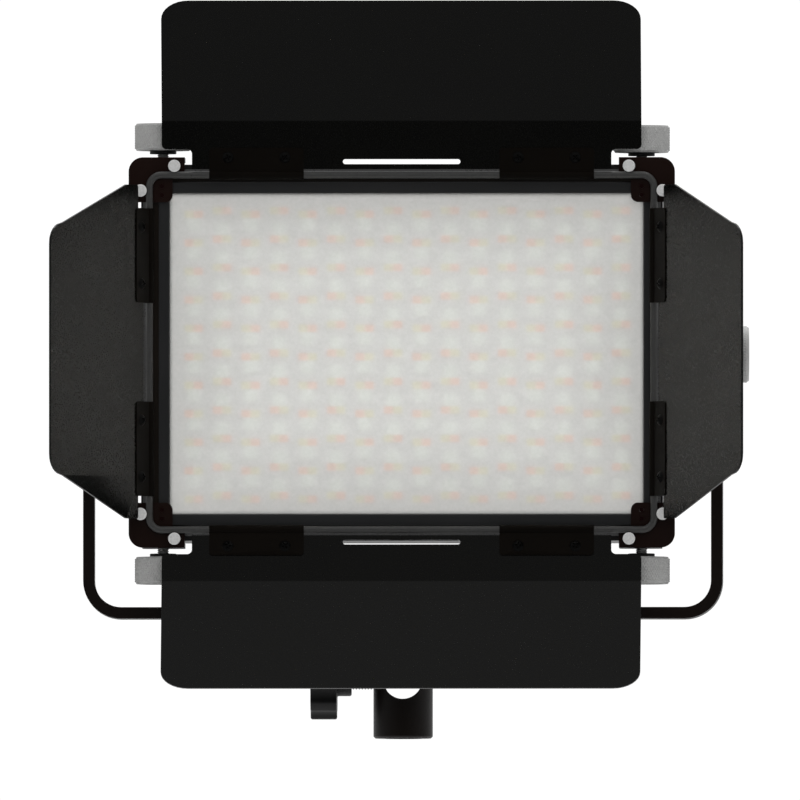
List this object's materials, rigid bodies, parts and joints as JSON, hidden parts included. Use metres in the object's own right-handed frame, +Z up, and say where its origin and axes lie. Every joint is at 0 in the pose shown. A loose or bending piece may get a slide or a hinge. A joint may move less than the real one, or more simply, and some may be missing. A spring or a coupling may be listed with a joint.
{
  "type": "led panel light",
  "caption": "LED panel light with a frosted diffuser, folding barn-door leaves on a wire frame, knurled thumbscrews, a tilting U-shaped yoke and a swivelling receiver for a stand pin.",
  "frame": {"origin": "centre of the mouth of the receiver's vertical stand socket, which is the lowest point of the light", "axes": "+Z up along the stand socket and the swivel axis, -Y the way the light faces, +X along the tilt axis to the right as seen from the front"},
  "size_m": [0.2929, 0.1441, 0.3094],
  "materials": {
    "housing": "black anodised, satin",
    "bezel": "fine-grained black plastic",
    "diffuser": "frosted white acrylic",
    "white_plastic": "matte white reflector plastic",
    "board_white": "white solder mask",
    "board_green": "green solder mask",
    "led_warm": "amber phosphor",
    "led_cool": "pale yellow phosphor",
    "led_rgb": "clear encapsulant in a white cup",
    "heat_sink": "mill finish",
    "steel": "zinc plated",
    "dark_steel": "black oxide",
    "bright_rivet": "bright, domed",
    "knob_aluminium": "knurled, clear anodised",
    "sheet_paint": "fine matte black powder coat",
    "bracket_paint": "black coat with a warm cast, satin",
    "wire_grey": "dark grey coated wire",
    "black_plastic": "fine moulded texture",
    "red_plastic": "red rocker",
    "lead_red": "insulated lead",
    "glass": "smoked clear window",
    "lcd": "dark display",
    "rubber_washer": "dense black",
    "receiver_paint": "satin black coat with a warm cast"
  },
  "bodies": {
    "receiver": {"receiver": "receiver_paint", "swivel_washer": "rubber_washer", "swivel_bolt": "dark_steel"},
    "lock_knob": {"lock_knob": "black_plastic", "lock_screw": "dark_steel"},
    "yoke": {"yoke": "receiver_paint", "tilt_washers": "rubber_washer"},
    "head": {"housing": "housing", "front_bezel": "bezel", "diffuser": "diffuser", "mixing_frame": "white_plastic", "led_board": "board_white", "warm_leds": "led_warm", "cool_leds": "led_cool", "rgb_leds": "led_rgb", "heat_sink": "heat_sink", "board_screws": "steel", "driver_board": "board_green", "control_board": "board_green", "wire_harness": "lead_red", "rear_cover": "black_plastic", "rear_screws": "steel", "bezel_screws": "dark_steel", "display": "lcd", "display_window": "glass", "encoders": "steel", "power_switch_frame": "black_plastic", "dc_jack": "black_plastic", "tilt_bosses": "housing", "wire_frame": "wire_grey", "corner_brackets": "bracket_paint", "bracket_rivets": "bright_rivet", "tab_rivets": "dark_steel"},
    "leaf_top": {"leaf_top": "sheet_paint", "clips_top": "bracket_paint", "clip_screws_top": "dark_steel"},
    "leaf_bottom": {"leaf_bottom": "sheet_paint", "clips_bottom": "bracket_paint", "clip_screws_bottom": "dark_steel"},
    "leaf_left": {"leaf_left": "sheet_paint", "clips_left": "bracket_paint", "clip_screws_left": "dark_steel"},
    "leaf_right": {"leaf_right": "sheet_paint", "clips_right": "bracket_paint", "clip_screws_right": "dark_steel"},
    "thumbscrew_top_left": {"thumbscrew_top_left": "knob_aluminium"},
    "thumbscrew_bottom_left": {"thumbscrew_bottom_left": "knob_aluminium"},
    "tilt_knob_left": {"tilt_knob_left": "knob_aluminium"},
    "dial_left": {"dial_left": "black_plastic"},
    "thumbscrew_top_right": {"thumbscrew_top_right": "knob_aluminium"},
    "thumbscrew_bottom_right": {"thumbscrew_bottom_right": "knob_aluminium"},
    "tilt_knob_right": {"tilt_knob_right": "knob_aluminium"},
    "dial_right": {"dial_right": "black_plastic"},
    "button_menu": {"button_menu": "black_plastic"},
    "button_mode": {"button_mode": "black_plastic"},
    "button_back": {"button_back": "black_plastic"},
    "button_preset": {"button_preset": "black_plastic"},
    "power_rocker": {"power_rocker": "red_plastic"}
  },
  "joints": [
    {"name": "pan", "type": "hinge", "parent": "receiver", "child": "yoke", "pos_m": [0, 0, 0.0503], "axis": [0, 0, 1], "continuous": true},
    {"name": "tilt", "type": "hinge", "parent": "yoke", "child": "head", "pos_m": [0, 0, 0.1617], "axis": [-1, 0, 0], "range_deg": [-15, 180]},
    {"name": "lock_knob_turn", "type": "hinge", "parent": "receiver", "child": "lock_knob", "pos_m": [-0.03, 0, 0.0245], "axis": [-1, 0, 0], "continuous": true},
    {"name": "leaf_top_swing", "type": "hinge", "parent": "head", "child": "leaf_top", "pos_m": [0, -0.036, 0.2364], "axis": [-1, 0, 0], "range_deg": [-151, 5]},
    {"name": "leaf_bottom_swing", "type": "hinge", "parent": "head", "child": "leaf_bottom", "pos_m": [0, -0.036, 0.087], "axis": [1, 0, 0], "range_deg": [-140, 16]},
    {"name": "leaf_left_swing", "type": "hinge", "parent": "head", "child": "leaf_left", "pos_m": [-0.1062, -0.036, 0.1617], "axis": [0, 0, -1], "range_deg": [-120.5, 58.5]},
    {"name": "leaf_right_swing", "type": "hinge", "parent": "head", "child": "leaf_right", "pos_m": [0.1062, -0.036, 0.1617], "axis": [0, 0, 1], "range_deg": [-118.5, 60.5]},
    {"name": "thumbscrew_top_left_turn", "type": "hinge", "parent": "head", "child": "thumbscrew_top_left", "pos_m": [-0.1007, -0.02, 0.2447], "axis": [0, 0, 1], "continuous": true},
    {"name": "thumbscrew_bottom_left_turn", "type": "hinge", "parent": "head", "child": "thumbscrew_bottom_left", "pos_m": [-0.1007, -0.02, 0.0787], "axis": [0, 0, -1], "continuous": true},
    {"name": "tilt_knob_left_turn", "type": "hinge", "parent": "head", "child": "tilt_knob_left", "pos_m": [-0.1346, 0, 0.1617], "axis": [-1, 0, 0], "continuous": true},
    {"name": "dial_left_turn", "type": "hinge", "parent": "head", "child": "dial_left", "pos_m": [-0.033, 0.03, 0.1577], "axis": [0, -1, 0], "continuous": true},
    {"name": "thumbscrew_top_right_turn", "type": "hinge", "parent": "head", "child": "thumbscrew_top_right", "pos_m": [0.1007, -0.02, 0.2447], "axis": [0, 0, 1], "continuous": true},
    {"name": "thumbscrew_bottom_right_turn", "type": "hinge", "parent": "head", "child": "thumbscrew_bottom_right", "pos_m": [0.1007, -0.02, 0.0787], "axis": [0, 0, -1], "continuous": true},
    {"name": "tilt_knob_right_turn", "type": "hinge", "parent": "head", "child": "tilt_knob_right", "pos_m": [0.1346, 0, 0.1617], "axis": [1, 0, 0], "continuous": true},
    {"name": "dial_right_turn", "type": "hinge", "parent": "head", "child": "dial_right", "pos_m": [0.033, 0.03, 0.1577], "axis": [0, -1, 0], "continuous": true},
    {"name": "button_menu_press", "type": "slide", "parent": "head", "child": "button_menu", "axis": [0, -1, 0], "range_m": [0, 0.0012], "stiffness_N_per_m": 400},
    {"name": "button_mode_press", "type": "slide", "parent": "head", "child": "button_mode", "axis": [0, -1, 0], "range_m": [0, 0.0012], "stiffness_N_per_m": 400},
    {"name": "button_back_press", "type": "slide", "parent": "head", "child": "button_back", "axis": [0, -1, 0], "range_m": [0, 0.0012], "stiffness_N_per_m": 400},
    {"name": "button_preset_press", "type": "slide", "parent": "head", "child": "button_preset", "axis": [0, -1, 0], "range_m": [0, 0.0012], "stiffness_N_per_m": 400},
    {"name": "power_rocker_tip", "type": "hinge", "parent": "head", "child": "power_rocker", "pos_m": [-0.03, 0.027, 0.1127], "axis": [-1, 0, 0], "range_deg": [0, 20]}
  ]
}
